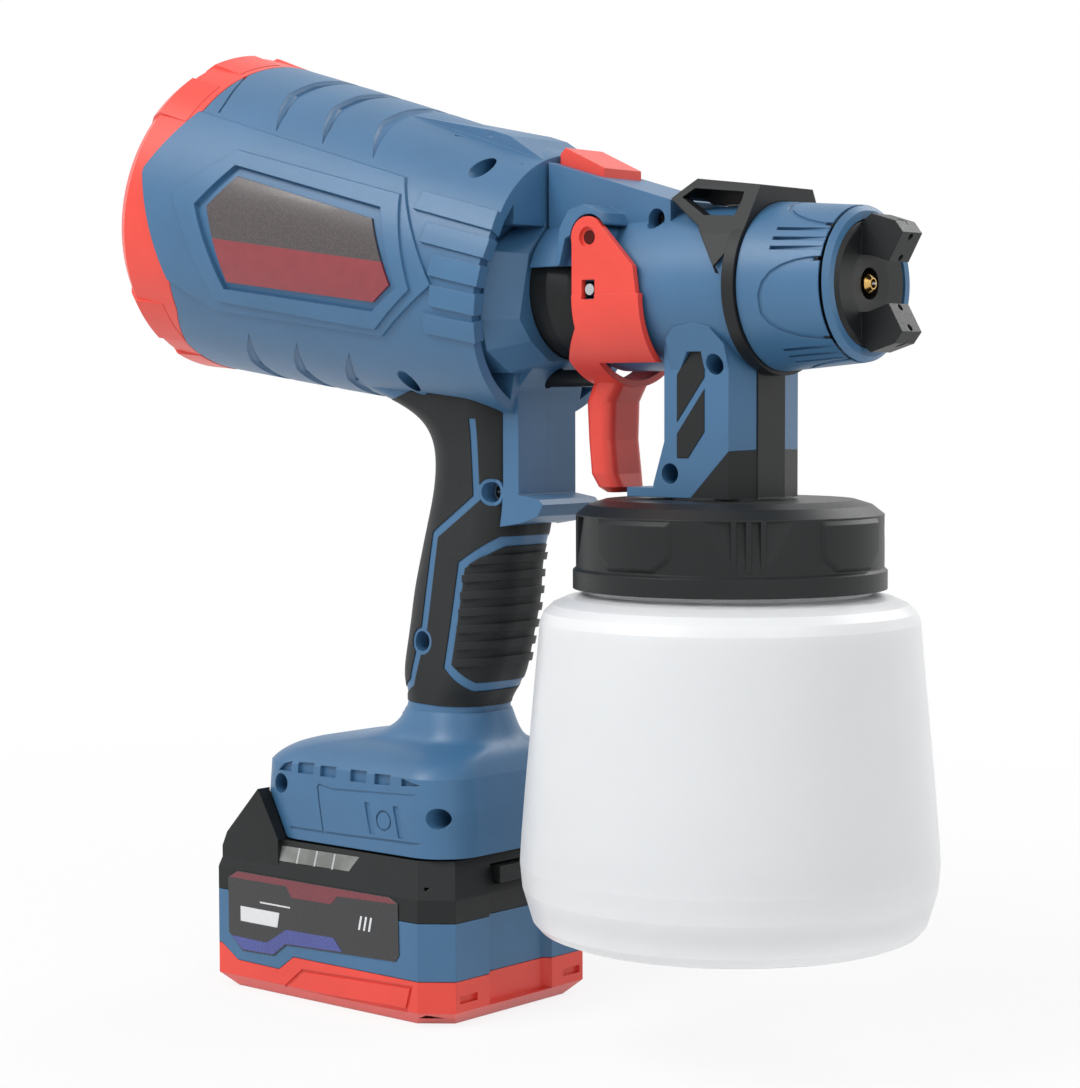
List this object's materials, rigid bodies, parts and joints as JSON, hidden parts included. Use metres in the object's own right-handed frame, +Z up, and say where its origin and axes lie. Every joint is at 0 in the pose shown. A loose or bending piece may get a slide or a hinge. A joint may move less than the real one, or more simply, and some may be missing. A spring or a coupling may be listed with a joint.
{
  "type": "cordless paint sprayer",
  "caption": "Cordless paint spray gun with a turbine barrel, pistol grip, slide-on battery and a round cup hanging under the nozzle.",
  "frame": {"origin": "middle of the outline's bottom, on the plane that the battery stands on", "axes": "+X is the spray direction, +Z is up, +Y is to the left of a user who holds it"},
  "size_m": [0.2814, 0.1198, 0.3002],
  "materials": {
    "blue_plastic": "satin moulded",
    "red_plastic": "satin moulded",
    "black_plastic": "fine texture",
    "soft_rubber": "matt",
    "milky_plastic": "translucent satin",
    "light_plastic": "satin",
    "label_print": "printed",
    "clear_plastic": "clear",
    "circuit_board": "lacquered",
    "copper_wire": "wound",
    "wire_sleeve": "flexible",
    "cell_wrap": "shrink wrap",
    "steel": "bright",
    "spring_steel": "wire",
    "brass": "machined",
    "foam": "open foam"
  },
  "bodies": {
    "power_unit": {"housing_right": "blue_plastic", "housing_left": "blue_plastic", "grip_cover_right": "soft_rubber", "grip_cover_left": "soft_rubber", "finger_pads": "soft_rubber", "label_plates": "label_print", "motor_can": "steel", "motor_end_cap": "black_plastic", "rear_bearing": "steel", "front_bearing": "steel", "fan_housing": "black_plastic", "motor_mounts": "soft_rubber", "air_duct": "black_plastic", "duct_seal": "light_plastic", "control_board": "circuit_board", "trigger_switch": "black_plastic", "plunger_spring": "spring_steel", "terminal_block": "black_plastic", "terminal_blades": "brass", "housing_screws": "steel", "motor_leads": "wire_sleeve"},
    "rotor": {"motor_shaft": "steel", "armature": "copper_wire", "impeller": "black_plastic"},
    "filter_cap": {"rear_cap": "red_plastic", "air_filter": "foam"},
    "plunger": {"switch_plunger": "black_plastic"},
    "spray_gun": {"gun_shell_right": "blue_plastic", "gun_shell_left": "blue_plastic", "fluid_body": "black_plastic", "inlet_dome": "black_plastic", "leg_inserts": "black_plastic", "gun_screws": "steel", "trigger_pin": "steel", "fluid_nozzle": "brass", "nozzle_seal": "light_plastic", "needle_packing": "light_plastic", "needle_spring": "spring_steel", "suction_tube": "light_plastic", "cup_gasket": "light_plastic", "latch_spring": "spring_steel"},
    "trigger_lever": {"trigger": "red_plastic"},
    "fluid_needle": {"needle": "steel", "needle_crossbar": "steel"},
    "latch": {"latch_button": "red_plastic"},
    "selector": {"selector_ring": "black_plastic"},
    "cap_carrier": {"cap_washer": "light_plastic"},
    "nut": {"ring_nut": "blue_plastic"},
    "spray_cap": {"air_cap": "black_plastic"},
    "lid_ring": {"cup_ring": "black_plastic"},
    "paint_cup": {"cup": "milky_plastic"},
    "battery": {"battery_top": "black_plastic", "battery_middle": "blue_plastic", "battery_base": "red_plastic", "battery_cells": "cell_wrap", "cell_holder": "black_plastic", "battery_labels": "label_print", "charge_window": "clear_plastic", "battery_contacts": "brass"},
    "battery_catch": {"battery_release": "black_plastic"}
  },
  "joints": [
    {"name": "turbine_spin", "type": "hinge", "parent": "power_unit", "child": "rotor", "pos_m": [-0.1196, 0, 0.2495], "axis": [0.9778, 0, -0.2096], "continuous": true},
    {"name": "rear_cap_pull", "type": "slide", "parent": "power_unit", "child": "filter_cap", "axis": [-0.9778, 0, 0.2096], "range_m": [0, 0.03]},
    {"name": "gun_twist", "type": "hinge", "parent": "power_unit", "child": "spray_gun", "pos_m": [0.0238, 0, 0.2196], "axis": [1, 0, 0], "range_deg": [0, 30]},
    {"name": "trigger_pull", "type": "hinge", "parent": "spray_gun", "child": "trigger_lever", "pos_m": [0.049, 0, 0.2336], "axis": [0, 1, 0], "range_deg": [0, 15], "stiffness_Nm_per_rad": 0.6, "springref_deg": -11.46},
    {"name": "needle_slide", "type": "slide", "parent": "spray_gun", "child": "fluid_needle", "axis": [-1, 0, 0], "range_m": [0, 0.0041]},
    {"name": "plunger_slide", "type": "slide", "parent": "power_unit", "child": "plunger", "axis": [-1, 0, 0], "range_m": [0, 0.0122]},
    {"name": "latch_press", "type": "slide", "parent": "spray_gun", "child": "latch", "axis": [0, 0, -1], "range_m": [0, 0.002], "stiffness_N_per_m": 800, "springref_m": -0.001},
    {"name": "selector_turn", "type": "hinge", "parent": "spray_gun", "child": "selector", "pos_m": [0.0974, 0, 0.2189], "axis": [1, 0, 0], "range_deg": [-30, 30]},
    {"name": "ring_advance", "type": "slide", "parent": "spray_gun", "child": "cap_carrier", "axis": [1, 0, 0], "range_m": [0, 0.0046]},
    {"name": "ring_turn", "type": "hinge", "parent": "cap_carrier", "child": "nut", "pos_m": [0.1134, 0, 0.2189], "axis": [1, 0, 0], "range_deg": [0, 540]},
    {"name": "air_cap_turn", "type": "hinge", "parent": "cap_carrier", "child": "spray_cap", "pos_m": [0.1264, 0, 0.2189], "axis": [1, 0, 0], "range_deg": [0, 90]},
    {"name": "cup_ring_turn", "type": "hinge", "parent": "spray_gun", "child": "lid_ring", "pos_m": [0.0804, 0, 0.145], "axis": [0, 0, 1], "range_deg": [0, 540]},
    {"name": "cup_drop", "type": "slide", "parent": "spray_gun", "child": "paint_cup", "axis": [0, 0, -1], "range_m": [0, 0.0091]},
    {"name": "battery_slide", "type": "slide", "parent": "power_unit", "child": "battery", "axis": [-1, 0, 0], "range_m": [0, 0.09]},
    {"name": "battery_release_press", "type": "slide", "parent": "battery", "child": "battery_catch", "axis": [-1, 0, 0], "range_m": [0, 0.003], "stiffness_N_per_m": 900, "springref_m": -0.001}
  ],
  "couplings": [
    {"joint": "needle_slide", "follows": "trigger_pull", "m_per_rad": 0.015},
    {"joint": "plunger_slide", "follows": "trigger_pull", "m_per_rad": 0.0458},
    {"joint": "ring_advance", "follows": "ring_turn", "m_per_rad": 0.00047746},
    {"joint": "cup_drop", "follows": "cup_ring_turn", "m_per_rad": 0.00095493}
  ]
}
